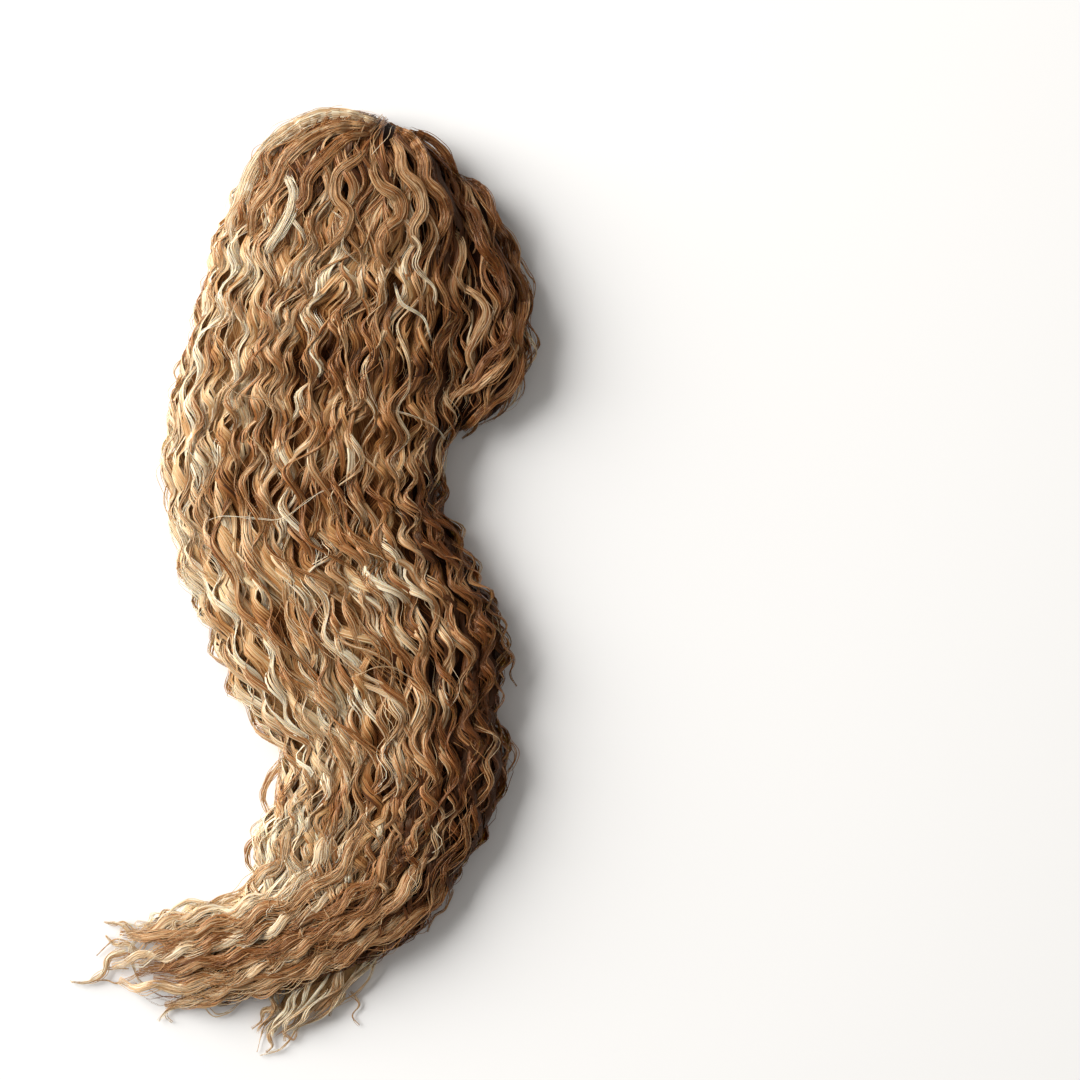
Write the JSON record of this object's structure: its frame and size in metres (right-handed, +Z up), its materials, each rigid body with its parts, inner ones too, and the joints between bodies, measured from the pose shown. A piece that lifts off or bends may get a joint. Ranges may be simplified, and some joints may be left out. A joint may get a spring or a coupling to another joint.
{
  "type": "ponytail hairpiece",
  "caption": "Long clip-in ponytail of waved copper-blonde hair on a shallow net cap with a comb inside, lying flat with its tail bent to one side.",
  "frame": {"origin": "centre of the bounding box on plan, on the surface that the hairpiece lies on", "axes": "+Y from the tail towards the crown, +X towards the side fall, +Z up from the surface it lies on"},
  "size_m": [0.301, 0.6055, 0.0577],
  "materials": {
    "hair": "waved synthetic hair in copper tan, blonde and pale blonde, with a soft sheen",
    "net": "dark brown stretch net",
    "comb": "dark brown moulded plastic"
  },
  "bodies": {
    "root": {"base_net": "net", "comb": "comb", "main_fall": "hair", "side_fall": "hair", "lower_tuft": "hair"}
  },
  "joints": []
}
